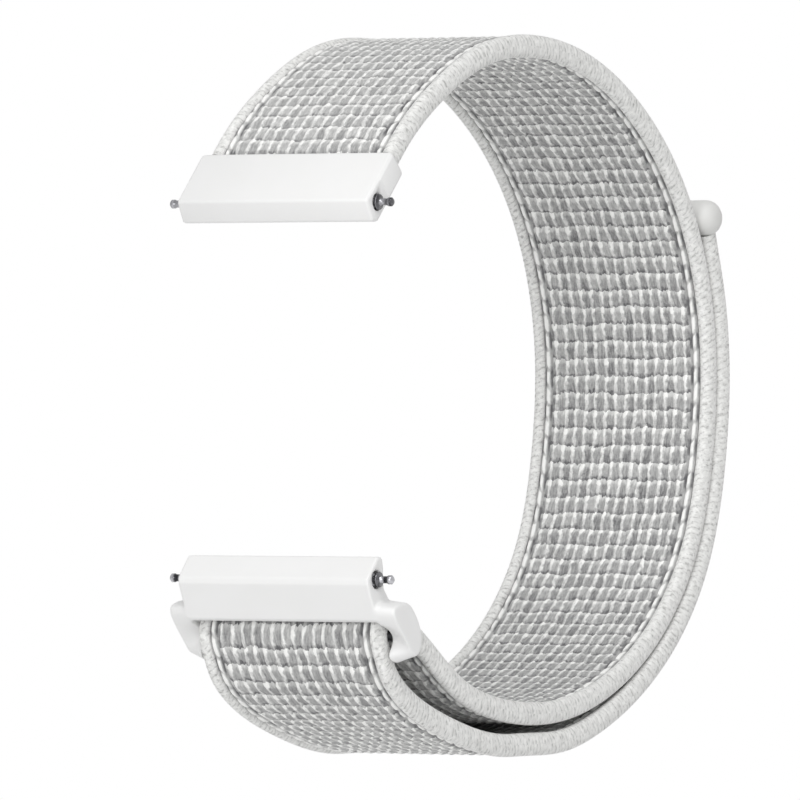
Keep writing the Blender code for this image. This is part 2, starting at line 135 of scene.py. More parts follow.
strapShape = {
    "pinSpacing": 0.0330,
    "loopReach": 0.0606,
    "loopRise": 0.0307,
    "plateLean": math.radians(45),
    "plateLength": 0.0050,
    "pocketStart": 0.0022,
    "rodPlace": 0.0034,
    "barBack": 0.0037,
    "barDrop": 0.0049,
    "wrapRadius": 0.00185,
    "wrapStart": math.radians(62),
    "wrapEnd": math.radians(213),
    "layerSpacing": 0.00245,
    "beadOffset": 0.0030,
    "beadRadius": 0.00165,
    "loopPoints": [  # shares of the reach behind the bars and of the rise
        (0.097, 0.726), (0.197, 0.861), (0.339, 0.978), (0.485, 1.005), (0.625, 0.962),
        (0.765, 0.841), (0.880, 0.658), (0.964, 0.404), (1.000, 0.098), (0.990, -0.179),
        (0.944, -0.463), (0.845, -0.697), (0.707, -0.857), (0.551, -0.935),
        (0.387, -0.928), (0.255, -0.857), (0.158, -0.739),
    ],
    "tailPoints": [
        (0.053, -0.793), (0.092, -0.865), (0.151, -0.923), (0.234, -0.976), (0.336, -1.0205),
        (0.3906, -1.0300), (0.4312, -1.0300), (0.4717, -1.0300), (0.5122, -1.0300),
        (0.570, -1.0210), (0.640, -0.989),
    ],
    "touchShares": [0.600, 0.567, 0.534, 0.501, 0.468, 0.444],
    "riseShare": 0.4170,
    "lastShare": 0.4095,
    "bendShares": [0.0, 0.375, 0.665],  # of the tail, where its three stretches hinge
    "wrapCover": math.radians(112),  # how much of the turn belongs to the wrap's own piece
    "tailGap": 0.0003,  # between the bead and the end of the tail's full thickness
    "step": 0.000325,
}


def smoothLine(points, firstHeading, lastHeading, step):
    points = np.array(points)
    chords = np.linalg.norm(np.diff(points, axis=0), axis=1)
    count = len(points)
    system = np.zeros((count, count))
    wanted = np.zeros((count, 2))
    system[0, 0] = system[-1, -1] = 1
    wanted[0], wanted[-1] = heading(firstHeading), heading(lastHeading)
    for i in range(1, count - 1):
        before, after = chords[i - 1], chords[i]
        system[i, i - 1], system[i, i], system[i, i + 1] = after, 2 * (before + after), before
        slopeBefore = (points[i] - points[i - 1]) / before
        slopeAfter = (points[i + 1] - points[i]) / after
        wanted[i] = 3 * (after * slopeBefore + before * slopeAfter)
    slopes = np.linalg.solve(system, wanted)
    found = [points[0]]
    for i, chord in enumerate(chords):
        steps = max(2, math.ceil(chord / step))
        for k in range(1, steps + 1):
            t = k / steps
            found.append(
                (2 * t**3 - 3 * t**2 + 1) * points[i]
                + (t**3 - 2 * t**2 + t) * chord * slopes[i]
                + (3 * t**2 - 2 * t**3) * points[i + 1]
                + (t**3 - t**2) * chord * slopes[i + 1]
            )
    return np.array(found)


def placesAlong(line):
    return np.concatenate([[0], np.cumsum(np.linalg.norm(np.diff(line, axis=0), axis=1))])


def onLine(line, places, wanted):
    wanted = np.asarray(wanted, float)
    return np.stack([np.interp(wanted, places, line[:, k]) for k in (0, 1)], axis=-1)


def leftOf(line, places, wanted, reach=0.00065):
    wanted = np.asarray(wanted, float)
    high = onLine(line, places, np.minimum(wanted + reach, places[-1]))
    low = onLine(line, places, np.maximum(wanted - reach, 0))
    along = (high - low) / np.linalg.norm(high - low, axis=-1, keepdims=True)
    return np.stack([-along[..., 1], along[..., 0]], axis=-1)


def strapLine(shape):
    upperPin = np.array([0, shape["pinSpacing"] / 2])
    crossBar = np.array([shape["barBack"], -shape["pinSpacing"] / 2 - shape["barDrop"]])
    lean = heading(shape["plateLean"])
    points = [upperPin + lean * shape[key] for key in ("pocketStart", "rodPlace", "plateLength")]
    scale = np.array([shape["loopReach"], shape["loopRise"]])
    points += [np.array(share) * scale for share in shape["loopPoints"]]
    points.append(crossBar + shape["wrapRadius"] * heading(shape["wrapStart"]))
    curve = smoothLine(points, shape["plateLean"], shape["wrapStart"] + quarter, shape["step"])
    turns = np.linspace(shape["wrapStart"], shape["wrapEnd"], 9)
    wrap = [crossBar + shape["wrapRadius"] * heading(turn) for turn in turns]
    loop = np.array(list(curve) + wrap[1:])
    loopPlaces = placesAlong(loop)
    loopLength = loopPlaces[-1]

    def beside(share, offset):
        place = share * loopLength
        return onLine(loop, loopPlaces, place) + offset * leftOf(loop, loopPlaces, place)

    spacing = shape["layerSpacing"]
    points = [loop[-1]] + [np.array(share) * scale for share in shape["tailPoints"]]
    points += [beside(share, spacing) for share in shape["touchShares"]]
    points.append(beside(shape["riseShare"], (spacing + shape["beadOffset"]) / 2))
    points.append(beside(shape["lastShare"], shape["beadOffset"]))
    way = points[-1] - points[-2]
    tail = smoothLine(
        points, shape["wrapEnd"] + quarter, math.atan2(way[1], way[0]), shape["step"]
    )
    pin = boxMiddle("upper_bar_tube")
    line = np.concatenate([loop, tail[1:]]) + np.array([pin.y, pin.z]) - upperPin
    return line, placesAlong(line), loopLength


line, linePlaces, loopLength = strapLine(strapShape)
tailLength = linePlaces[-1] - loopLength
bendPlaces = [loopLength + share * tailLength for share in strapShape["bendShares"]]
tailStop = linePlaces[-1] - strapShape["beadRadius"] - strapShape["tailGap"]
wrapStartPlace = loopLength - strapShape["wrapRadius"] * strapShape["wrapCover"]
loopMillimetres, tailMillimetres = round(loopLength * 1000, 1), round(tailLength * 1000, 1)
print("strap line:", loopMillimetres, "mm loop and", tailMillimetres, "mm tail")

# materials


def hexColour(text):
    parts = [int(text[k:k + 2], 16) / 255 for k in (1, 3, 5)]
    return tuple(c / 12.92 if c <= 0.04045 else ((c + 0.055) / 1.055) ** 2.4 for c in parts) + (1,)


def addNode(tree, kind, inputs=None, output=0, **settings):
    # adds a node with its settings, values and links, and gives back one of its outputs
    node = tree.nodes.new("ShaderNode" + kind)
    for name, value in settings.items():
        setattr(node, name, value)
    for name, value in (inputs or {}).items():
        if isinstance(value, bpy.types.NodeSocket):
            tree.links.new(value, node.inputs[name])
        else:
            node.inputs[name].default_value = value
    return node.outputs[output]


def newMaterial(name, values):
    made = bpy.data.materials.new(name)
    made.use_nodes = True
    shader = made.node_tree.nodes["Principled BSDF"]
    for socket, value in values.items():
        shader.inputs[socket].default_value = value
    return made, made.node_tree, shader


wovenLook = {
    "brightHex": "#FEFEFC",
    "darkHex": "#606062",
    "middle": 0.33,  # tone of the plain ground, from dark 0 to bright 1
    "head": 0.24,  # painted highlight: how much brighter each rib's head is
    "oddCellShade": -0.09,  # every second cell, a weave pattern, is darker below its head, painted shade
    "tuckShade": -0.22,  # painted shade where a rib tucks under the next one
    "warpYarn": 0.48,
    "bead": 0.45,  # painted highlight: how much brighter a warp yarn is where it crosses a rib's head
    "fluff": 0.65,
    "chance": 0.16,  # from cell to cell
    "weft": 0.08,
    "blotch": 1.5,  # how unevenly the warp yarns catch the light
    "loopFace": 0.10,  # how much brighter the face is that carries the fluffy loops
    "driftScale": 2.6,
    "drift": (0.42, 0.40, 0.0),  # how far yarns and ribs wander, in pitches
    "strokes": (6.0, 2.4, 1.0),  # the fluff's fineness across and along
    "weftsPerRib": 7.0,
    "seamGround": -0.16,  # tone between field and piping, and what the stitch yarn adds to it
    "seamTone": 0.95,
    "seamFluff": 0.45,
    "seamBreaks": 0.30,
    "bumpStrength": 0.7,
    "bumpDepth": 0.00006,
    "shader": {"Roughness": 0.8, "Sheen Weight": 0.2, "Sheen Roughness": 0.4},
}


def makeWovenNylon(look, weave):
    # woven nylon: matt bulky yarn beaten into ribs 1.65 mm apart. A rib is fluffy; its colour is bright
    # at its head and grey below, a painted highlight and painted shade as light from above gives, and
    # dark where it tucks under the next, painted shade. Thin bright warp yarns lie over it 1.05 mm
    # apart. The UV map counts warp yarns across and ribs along.
    made, tree, shader = newMaterial("wovenNylon", look["shader"])
    soft = {"interpolation_type": "SMOOTHSTEP"}
    uv = addNode(tree, "UVMap", uv_map="weave")
    straight = addNode(tree, "SeparateXYZ", {0: uv}).node
    away = addNode(tree, "Math", {0: straight.outputs[0]}, operation="ABSOLUTE")
    # the yarns wander a little, and the third part of the same noise is their blotches
    drift = addNode(tree, "TexNoise", {"Vector": uv, "Scale": look["driftScale"], "Detail": 3.0},
                    "Color", noise_dimensions="2D")
    drift = addNode(tree, "VectorMath", {0: drift, 1: (0.5, 0.5, 0.5)}, operation="SUBTRACT")
    blotch = addNode(tree, "SeparateXYZ", {0: drift}, 2)
    loopFace = addNode(tree, "Math", {0: straight.outputs[1], 1: 0.0}, operation="LESS_THAN")
    place = addNode(tree, "VectorMath", {0: drift, 1: look["drift"], 2: uv}, operation="MULTIPLY_ADD")
    split = addNode(tree, "SeparateXYZ", {0: place}).node
    u = addNode(tree, "Math", {0: split.outputs[0], 1: 0.5}, operation="ADD")
    v = split.outputs[1]
    rib = addNode(tree, "Math", {0: v}, operation="FRACT")
    fromYarn = addNode(tree, "Math", {0: u, 1: 0.5}, operation="PINGPONG")
    column = addNode(tree, "Math", {0: u}, operation="FLOOR")
    row = addNode(tree, "Math", {0: v}, operation="FLOOR")
    odd = addNode(tree, "Math", {0: column, 1: 1.0}, operation="PINGPONG")
    cell = addNode(tree, "CombineXYZ", {0: column, 1: row})
    chanceHere = addNode(tree, "TexWhiteNoise", {0: cell}, noise_dimensions="2D")
    strokes = addNode(tree, "VectorMath", {0: uv, 1: look["strokes"]}, operation="MULTIPLY")
    fluff = {"Vector": strokes, "Scale": 1.0, "Detail": 3.0, "Roughness": 0.65}
    fluff = addNode(tree, "TexNoise", fluff, noise_dimensions="2D")
    weft = addNode(tree, "Math", {0: v, 1: look["weftsPerRib"]}, operation="MULTIPLY")
    weft = addNode(tree, "Math", {0: weft, 1: 0.5}, operation="PINGPONG")

    # each ramp rises from its first number to its second, in shares of a rib or of a yarn pitch
    # painted highlight on each rib's head and painted shade below it, as light from above would give
    paintedHeadHighlight = addNode(tree, "MapRange", {0: rib, 1: 0.36, 2: 0.08}, **soft)
    # painted shade where a rib tucks under the next, stronger or weaker by chance from cell to cell
    paintedTuckShade = addNode(tree, "MapRange", {0: rib, 1: 0.74, 2: 0.95}, **soft)
    tuckHere = addNode(tree, "MapRange", {0: chanceHere, 3: 0.2, 4: 1.5})
    paintedTuckShade = addNode(tree, "Math", {0: paintedTuckShade, 1: tuckHere}, operation="MULTIPLY")
    yarnPart = addNode(tree, "MapRange", {0: fromYarn, 1: 0.23, 2: 0.06}, **soft)
    # the warp yarn dims towards the rib's foot, painted shade, and in random blotches
    yarnFade = addNode(tree, "MapRange", {0: rib, 1: 0.0, 2: 1.0, 3: 1.0, 4: 0.6})
    yarnFade = {0: blotch, 1: look["blotch"], 2: yarnFade}
    yarnFade = addNode(tree, "Math", yarnFade, operation="MULTIPLY_ADD")
    # the bead: a painted highlight where a warp yarn crosses a rib's head
    bead = addNode(tree, "MapRange", {0: rib, 1: 0.42, 2: 0.18}, **soft)
    bead = addNode(tree, "Math", {0: bead, 1: yarnPart}, operation="MULTIPLY")
    yarnPart = addNode(tree, "Math", {0: yarnPart, 1: yarnFade}, operation="MULTIPLY")
    # every second cell, a weave pattern, darkens towards the rib's foot, painted shade
    lowPart = addNode(tree, "MapRange", {0: fromYarn, 1: 0.14, 2: 0.26}, **soft)
    lowFade = addNode(tree, "MapRange", {0: rib, 1: 0.12, 2: 0.5}, **soft)
    lowPart = addNode(tree, "Math", {0: lowPart, 1: lowFade}, operation="MULTIPLY")
    lowPart = addNode(tree, "Math", {0: lowPart, 1: odd}, operation="MULTIPLY")

    # between field and piping: a broken dark line, a bright beaded stitch and a thin dark line
    dash = addNode(tree, "Math", {0: away, 1: weave["dashSlant"], 2: v}, operation="MULTIPLY_ADD")
    dash = addNode(tree, "Math", {0: dash, 1: 0.5}, operation="PINGPONG")
    dash = addNode(tree, "MapRange", {0: dash, 1: 0.0, 2: 0.30, 3: 0.35, 4: 1.0}, **soft)
    seam = addNode(tree, "Math", {0: away, 1: weave["stitchPlace"]}, operation="SUBTRACT")
    seam = addNode(tree, "Math", {0: seam}, operation="ABSOLUTE")
    seam = addNode(tree, "MapRange", {0: seam, 1: 0.26, 2: 0.08}, **soft)
    seam = addNode(tree, "Math", {0: seam, 1: dash}, operation="MULTIPLY")
    gap = addNode(tree, "Math", {0: v, 1: 0.5}, operation="MULTIPLY")
    gap = addNode(tree, "Math", {0: gap, 1: 0.5}, operation="PINGPONG")
    gap = addNode(tree, "MapRange", {0: gap, 1: 0.16, 2: 0.34}, **soft)
    edgeHigh, edgeLow = weave["fieldEdge"] + 0.05, weave["fieldEdge"] - 0.07
    field = addNode(tree, "MapRange", {0: away, 1: edgeHigh, 2: edgeLow}, **soft)

    # noise and chance are taken from their middle, so that they don't shift the ground's tone
    tone = look["middle"] - 0.5 * look["fluff"] - 0.5 * look["chance"] - 0.25 * look["weft"]
    parts = (
        (fluff, "fluff"), (chanceHere, "chance"), (weft, "weft"), (paintedHeadHighlight, "head"), (paintedTuckShade, "tuckShade"),
        (yarnPart, "warpYarn"), (bead, "bead"), (lowPart, "oddCellShade"), (loopFace, "loopFace"),
    )
    for part, key in parts:
        tone = addNode(tree, "Math", {0: part, 1: look[key], 2: tone}, operation="MULTIPLY_ADD")
    edge = look["seamGround"]
    for part, key in ((seam, "seamTone"), (fluff, "seamFluff"), (gap, "seamBreaks")):
        edge = addNode(tree, "Math", {0: part, 1: look[key], 2: edge}, operation="MULTIPLY_ADD")
    tone = addNode(tree, "Mix", {0: field, 2: edge, 3: tone})
    colour = {0: tone, 6: hexColour(look["darkHex"]), 7: hexColour(look["brightHex"])}
    colour = addNode(tree, "Mix", colour, 2, data_type="RGBA")
    tree.links.new(colour, shader.inputs["Base Color"])
    relief = addNode(tree, "Math", {0: weft, 1: 0.6, 2: fluff}, operation="MULTIPLY_ADD")
    bump = {"Height": relief, "Strength": look["bumpStrength"], "Distance": look["bumpDepth"]}
    bump = addNode(tree, "Bump", bump)
    tree.links.new(bump, shader.inputs["Normal"])
    return made


pipingLook = {
    "lightHex": "#F7F7F5",
    "darkHex": "#969694",
    "patches": 0.35,  # how much darker the flattened patches and the grooves are
    "grooves": 0.45,
    "driftScale": 1.6,
    "drift": (0.9, 0.9, 0.0),
    "strokes": (2.2, 1.3, 1.0),
    "bumpStrength": 0.6,
    "bumpDepth": 0.00006,
    "shader": {"Roughness": 0.75, "Sheen Weight": 0.25, "Sheen Roughness": 0.4},
}


def makePipingNylon(look):
    # knitted nylon over a cord: short soft slanted stitches 0.55 mm apart, matt and fluffy
    made, tree, shader = newMaterial("pipingNylon", look["shader"])
    soft = {"interpolation_type": "SMOOTHSTEP"}
    uv = addNode(tree, "UVMap", uv_map="weave")
    drift = addNode(tree, "TexNoise", {"Vector": uv, "Scale": look["driftScale"], "Detail": 2.0},
                    "Color", noise_dimensions="2D")
    drift = addNode(tree, "VectorMath", {0: drift, 1: (0.5, 0.5, 0.5)}, operation="SUBTRACT")
    place = addNode(tree, "VectorMath", {0: drift, 1: look["drift"], 2: uv}, operation="MULTIPLY_ADD")
    split = addNode(tree, "SeparateXYZ", {0: place}).node
    slant = addNode(tree, "Math", {0: split.outputs[0], 1: split.outputs[1]}, operation="ADD")
    rib = addNode(tree, "Math", {0: slant, 1: 0.5}, operation="PINGPONG")
    groove = addNode(tree, "MapRange", {0: rib, 1: 0.26, 2: 0.02}, **soft)
    strokes = addNode(tree, "VectorMath", {0: uv, 1: look["strokes"]}, operation="MULTIPLY")
    fluff = {"Vector": strokes, "Scale": 1.0, "Detail": 3.0, "Roughness": 0.65}
    fluff = addNode(tree, "TexNoise", fluff, noise_dimensions="2D")
    patchy = addNode(tree, "MapRange", {0: fluff, 1: 0.30, 2: 0.70})
    groove = addNode(tree, "Math", {0: groove, 1: patchy}, operation="MULTIPLY")
    tone = addNode(tree, "Math", {0: patchy, 1: look["patches"]}, operation="MULTIPLY")
    tone = addNode(tree, "Math", {0: groove, 1: look["grooves"], 2: tone}, operation="MULTIPLY_ADD")
    colour = {0: tone, 6: hexColour(look["lightHex"]), 7: hexColour(look["darkHex"])}
    colour = addNode(tree, "Mix", colour, 2, data_type="RGBA")
    tree.links.new(colour, shader.inputs["Base Color"])
    relief = addNode(tree, "Math", {0: rib, 1: fluff}, operation="ADD")
    bump = {"Height": relief, "Strength": look["bumpStrength"], "Distance": look["bumpDepth"]}
    bump = addNode(tree, "Bump", bump)
    tree.links.new(bump, shader.inputs["Normal"])
    return made


plasticLook = {
    "name": "mouldedAbs",
    "hex": "#F1F1F1",
    "shadeHex": "#ECECEB",
    "cloudScale": 220.0,
    "grainScale": 9000.0,
    "shader": {"Roughness": 0.42, "IOR": 1.5},
}

shadedBeadLook = {  # the bead: a greyer copy of the adapters' plastic, painted shade
    "name": "beadPlasticShaded",
    "hex": "#DEDEDC",
    "shadeHex": "#D8D8D6",
    "cloudScale": 220.0,
    "grainScale": 9000.0,
    "shader": {"Roughness": 0.5, "IOR": 1.53},
}


def makeMouldedPlastic(look):
    # injection-moulded ABS or nylon: plain satin white, with the mould's very fine even grain
    made, tree, shader = newMaterial(look["name"], look["shader"])
    where = addNode(tree, "TexCoord", output="Object")
    cloud = addNode(tree, "TexNoise", {"Vector": where, "Scale": look["cloudScale"], "Detail": 2.0})
    grain = addNode(tree, "TexNoise", {"Vector": where, "Scale": look["grainScale"], "Detail": 1.0})
    colour = {0: cloud, 6: hexColour(look["hex"]), 7: hexColour(look["shadeHex"])}
    colour = addNode(tree, "Mix", colour, 2, data_type="RGBA")
    tree.links.new(colour, shader.inputs["Base Color"])
    bump = addNode(tree, "Bump", {"Height": grain, "Strength": 0.08, "Distance": 0.00002})
    tree.links.new(bump, shader.inputs["Normal"])
    return made


steelLook = {
    "name": "turnedSteel",
    "hex": "#ACACB0",
    # the dark bands' colour, a painted dark reflection
    "darkHex": "#303033",
    "ringScale": 2400.0,
    "shader": {"Metallic": 1.0, "Roughness": 0.12},
}

shadedWireLook = {  # the rod's and the cross bar's steel, rougher and painted dark: painted shade of the cross bar's seat
    "name": "shadedDrawnSteel",
    "hex": "#4A4A4C",
    "darkHex": "#2A2A2C",
    "ringScale": 2400.0,
    "shader": {"Metallic": 1.0, "Roughness": 0.45},
}


def makeSteel(look):
    # stainless steel, turned or drawn: fine rings round the bar, with dark bands in its colour that are
    # painted dark reflections, and bright reflections of the lamps
    made, tree, shader = newMaterial(look["name"], look["shader"])
    where = addNode(tree, "TexCoord", output="Object")
    along = addNode(tree, "VectorMath", {0: where, 1: (1.0, 0.02, 0.02)}, operation="MULTIPLY")
    rings = addNode(tree, "TexNoise", {"Vector": along, "Scale": look["ringScale"], "Detail": 2.0})
    # dark bands along the rings: painted dark reflections
    band = addNode(tree, "MapRange", {0: rings, 1: 0.36, 2: 0.66})
    colour = {0: band, 6: hexColour(look["darkHex"]), 7: hexColour(look["hex"])}
    colour = addNode(tree, "Mix", colour, 2, data_type="RGBA")
    tree.links.new(colour, shader.inputs["Base Color"])
    bump = addNode(tree, "Bump", {"Height": rings, "Strength": 0.15, "Distance": 0.00001})
    tree.links.new(bump, shader.inputs["Normal"])
    return made


hookLook = {
    "hex": "#E6E6E2",
    "darkHex": "#CFCFCB",
    "shader": {"Roughness": 0.5, "IOR": 1.53},
}


def makeHookTape(look):
    # moulded nylon hook tape: unevenly milky, and glossier than cloth
    made, tree, shader = newMaterial("hookTapeNylon", look["shader"])
    where = addNode(tree, "TexCoord", output="Object")
    cloud = addNode(tree, "TexNoise", {"Vector": where, "Scale": 900.0, "Detail": 3.0})
    colour = {0: cloud, 6: hexColour(look["hex"]), 7: hexColour(look["darkHex"])}
    colour = addNode(tree, "Mix", colour, 2, data_type="RGBA")
    tree.links.new(colour, shader.inputs["Base Color"])
    return made


weaveSettings = {
    "yarnPitch": 0.00105,
    "ribPitch": 0.00165,
    "samplesAcross": 128,
    "samplesPerRib": 7,
    "halfWidth": 0.00820,
    "fieldEdge": 6.98,  # in yarns from the middle
    "stitchPlace": 7.44,
    "dashSlant": 0.6,  # in ribs for each yarn across
    "halfThickness": 0.00082,
    "ribHeight": 0.00011,
    "ribRoundness": 0.9,
    "ribLean": 0.3,  # how much lower a rib is at its foot than at its head
    "yarnHeight": 0.00012,
    "yarnWidth": 0.15,  # in yarn pitches
    "yarnSink": 0.6,
    "lowDepth": 0.00005,
    "unevenness": 0.00006,
    "grooveDepth": 0.00026,
    "wanderStop": 0.0074,  # from the middle: the yarns run straight beyond it
    "wanderFull": 0.0066,
    "faceShift": 0.37,  # so that the two faces don't wander alike
    "pocketEnd": 0.0031,  # where the strap enters the upper adapter
    "pocketShare": 0.72,  # pressed thin inside it
    "beadShare": 0.58,  # and inside the bead
    "ramp": 0.0006,
}

wovenNylon = makeWovenNylon(wovenLook, weaveSettings)
pipingNylon = makePipingNylon(pipingLook)
mouldedPlastic = makeMouldedPlastic(plasticLook)
shadedBeadPlastic = makeMouldedPlastic(shadedBeadLook)
turnedSteel = makeSteel(steelLook)
shadedDrawnSteel = makeSteel(shadedWireLook)
hookTapeNylon = makeHookTape(hookLook)
print("materials made")

# the woven band of the strap and the piping along its edges


def gridShell(name, around, along):
    # a flat grid, with each point's column and row
    bpy.ops.object.select_all(action="DESELECT")
    bpy.ops.mesh.primitive_grid_add(x_subdivisions=around, y_subdivisions=along, size=2)
    made = bpy.context.object
    made.name = name
    made.data.name = name
    co = np.zeros(len(made.data.vertices) * 3, np.float32)
    made.data.vertices.foreach_get("co", co)
    co = co.reshape(-1, 3)
    column = np.rint((co[:, 0] + 1) / 2 * around).astype(int)
    row = np.rint((co[:, 1] + 1) / 2 * along).astype(int)
    return made, column, row


def closedMesh(name, places, faces):
    # an object from its points and faces, with its normals outward
    mesh = bpy.data.meshes.new(name)
    mesh.from_pydata(places, [], faces)
    made = bpy.data.objects.new(name, mesh)
    bpy.context.scene.collection.objects.link(made)
    bpy.ops.object.select_all(action="DESELECT")
    bpy.context.view_layer.objects.active = made
    made.select_set(True)
    bpy.ops.object.mode_set(mode="EDIT")
    bpy.ops.mesh.select_all(action="SELECT")
    bpy.ops.mesh.normals_make_consistent(inside=False)
    bpy.ops.object.mode_set(mode="OBJECT")
    return made


def closeShell(made, places, uvs, surface):
    # rolls the grid into its shape, sews its long edges together and closes its ends
    mesh = made.data
    mesh.vertices.foreach_set("co", places.astype(np.float32).ravel())
    corners = np.zeros(len(mesh.loops), np.int32)
    mesh.loops.foreach_get("vertex_index", corners)
    layer = mesh.uv_layers[0]
    layer.name = "weave"
    layer.data.foreach_set("uv", uvs[corners].astype(np.float32).ravel())
    mesh.update()
    bpy.ops.object.mode_set(mode="EDIT")
    bpy.ops.mesh.select_all(action="SELECT")
    bpy.ops.mesh.remove_doubles(threshold=0.0000005)
    bpy.ops.mesh.select_all(action="SELECT")
    bpy.ops.mesh.fill_holes(sides=0)
    bpy.ops.mesh.select_all(action="SELECT")
    bpy.ops.mesh.normals_make_consistent(inside=False)
    bpy.ops.object.mode_set(mode="OBJECT")
    bpy.ops.object.shade_smooth_by_angle(angle=math.radians(60))
    mesh.materials.append(surface)


# how the yarns wander across and along: height, length across, length along in mm, and phase
wanderAcross = [(0.050, 0.84, 1.13, 0.0), (0.040, 0.41, -0.75, 1.0), (0.035, 1.9, -0.46, 2.2)]
wanderAlong = [(0.07, 1.45, 2.07, 0.0), (0.06, 0.55, -1.3, 0.6)]


def wander(x, s, waves):
    # in metres, for x across and s along the strap in metres
    a, b = x * 1000, s * 1000
    parts = [height * np.sin(a / wide + b / long + phase) for height, wide, long, phase in waves]
    return sum(parts) / 1000


def smooth(low, high, value):
    # a soft ramp from 0 at low to 1 at high
    t = np.clip((value - low) / (high - low), 0, 1)
    return t * t * (3 - 2 * t)


def chance(i, j):
    # the same number between 0 and 1 each time for a cell of the weave
    found = np.sin(i * 12.9898 + j * 78.233) * 43758.5453
    return found - np.floor(found)


def weaveRelief(u, v, settings):
    # the surface's height, for u in warp yarns across and v in ribs along
    rib = v - np.floor(v)
    column = np.floor(u + 0.5)
    fromYarn = np.abs(np.abs(u - column) - 0.5)
    bulge = np.clip(4 * rib * (1 - rib), 0, 1) ** settings["ribRoundness"]
    bulge = bulge * (1.12 - settings["ribLean"] * rib)
    ground = smooth(0.12, 0.28, fromYarn)
    low = (column % 2) * ground * smooth(0.12, 0.5, rib)
    uneven = ground * (chance(column, np.floor(v)) - 0.5)
    yarn = np.exp(-((fromYarn / settings["yarnWidth"]) ** 2)) * (1 - settings["yarnSink"] * rib)
    cloth = settings["ribHeight"] * (bulge - 0.75) + settings["yarnHeight"] * yarn
    cloth += settings["unevenness"] * uneven - settings["lowDepth"] * low
    # the stitch yarn stands up between two grooves, pinched where each stitch ends
    away = np.abs(np.abs(u) - settings["stitchPlace"])
    turn = v + np.abs(u) * settings["dashSlant"]
    dash = smooth(0, 0.30, np.abs(turn - np.rint(turn)))
    seam = settings["grooveDepth"] * (smooth(0.28, 0.08, away) * (0.4 + 0.6 * dash) - 1)
    field = smooth(settings["fieldEdge"] + 0.06, settings["fieldEdge"] - 0.06, np.abs(u))
    return field * cloth + (1 - field) * seam


def wovenBand(name, start, end, settings, thinFrom=None):
    # a closed band along the strap's line: round its left face, then back over its right face
    across = settings["samplesAcross"]
    around = 2 * across + 2
    along = max(2, round((end - start) / settings["ribPitch"] * settings["samplesPerRib"]))
    made, column, row = gridShell(name, around, along)
    leftSide = (column <= across) | (column == around)
    step = np.where(column <= across, column, 2 * across + 1 - column)
    step = np.where(column == around, 0, step)
    x = settings["halfWidth"] * (2 * step / across - 1)
    s = start + (end - start) * row / along
    shifted = s + np.where(leftSide, 0, settings["faceShift"])
    keep = smooth(settings["wanderStop"], settings["wanderFull"], np.abs(x))
    u = (x + wander(x, shifted, wanderAcross) * keep) / settings["yarnPitch"]
    v = np.where(leftSide, -1, 1) * (s + wander(x, shifted, wanderAlong)) / settings["ribPitch"]
    height = settings["halfThickness"] + weaveRelief(u, v, settings)
    pocket = smooth(settings["pocketEnd"] + settings["ramp"], settings["pocketEnd"], s)
    height = height * (1 - (1 - settings["pocketShare"]) * pocket)
    if thinFrom is not None:
        thin = smooth(thinFrom - settings["ramp"], thinFrom, s)
        height = height * (1 - (1 - settings["beadShare"]) * thin)
    side = np.where(leftSide, 1, -1)
    flat = onLine(line, linePlaces, s) + (side * height)[:, None] * leftOf(line, linePlaces, s)
    places = np.stack([x, flat[:, 0], flat[:, 1]], axis=1)
    closeShell(made, places, np.stack([u, v], axis=1), wovenNylon)
    return made


pipingSettings = {
    "middle": 0.00880,
    "halfWide": 0.00060,
    "halfTall": 0.00104,
    "squareness": 0.20,
    "sides": 20,
    "step": 0.00015,
    "ribPitch": 0.00055,
    "ribHeight": 0.00003,
    "slant": 4,  # whole stitches gained in one turn round the cord
}


def piping(name, start, end, hand, settings):
    # a rounded cord along one edge of the strap: hand is -1 for the left one and 1 for the right
    sides = settings["sides"]
    along = max(2, round((end - start) / settings["step"]))
    made, column, row = gridShell(name, sides, along)
    turn = 2 * math.pi * column / sides
    s = start + (end - start) * row / along
    rib = s / settings["ribPitch"] + hand * settings["slant"] * column / sides
    lift = settings["ribHeight"] * (np.abs(np.cos(math.pi * rib)) ** 0.7 - 1)
    c, d = np.cos(turn), np.sin(turn)
    reach = np.maximum(np.abs(c), np.abs(d)) ** settings["squareness"]
    x = hand * (settings["middle"] + (settings["halfWide"] + lift) * c / reach)
    out = (settings["halfTall"] + lift) * d / reach
    flat = onLine(line, linePlaces, s) + out[:, None] * leftOf(line, linePlaces, s)
    places = np.stack([x, flat[:, 0], flat[:, 1]], axis=1)
    uvs = np.stack([hand * settings["slant"] * column / sides, s / settings["ribPitch"]], axis=1)
    closeShell(made, places, uvs, pipingNylon)
    return made


stretchSettings = {
    "hem": 0.0003,  # where the strap starts, inside the upper adapter
    "loopSplit": 0.47,  # share of the loop's length
    "pastHinge": 0.010,  # where the tail's tip begins
    "bandInBead": 0.0012,
    "pipingInBead": 0.0004,
    "wrapBend": (0.0015, 0.004),  # spans before and after a hinge, in metres
    "tailBend": (0.003, 0.003),
}


def pointAt(place):
    y, z = onLine(line, linePlaces, place)
    return np.array([0, y, z])


def fastenTo(made, bodies, hinge):
    # one body: ride it. Two: the line's direction at the hinge is found and the piece's place baked in;
    # it is neither bent nor fastened to a body
    if len(bodies) == 1:
        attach(made, bodies[0])
        return
    way = pointAt(hinge + 0.0005) - pointAt(hinge - 0.0005)
    way = way / np.linalg.norm(way)
    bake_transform(made)


loopSplit = loopLength * stretchSettings["loopSplit"]
lowerMiddle = (bendPlaces[0] + bendPlaces[1]) / 2
middleMiddle = (bendPlaces[1] + bendPlaces[2]) / 2
tipStart = bendPlaces[2] + stretchSettings["pastHinge"]
tongueEnd = linePlaces[-1] - strapShape["beadRadius"] + stretchSettings["bandInBead"]
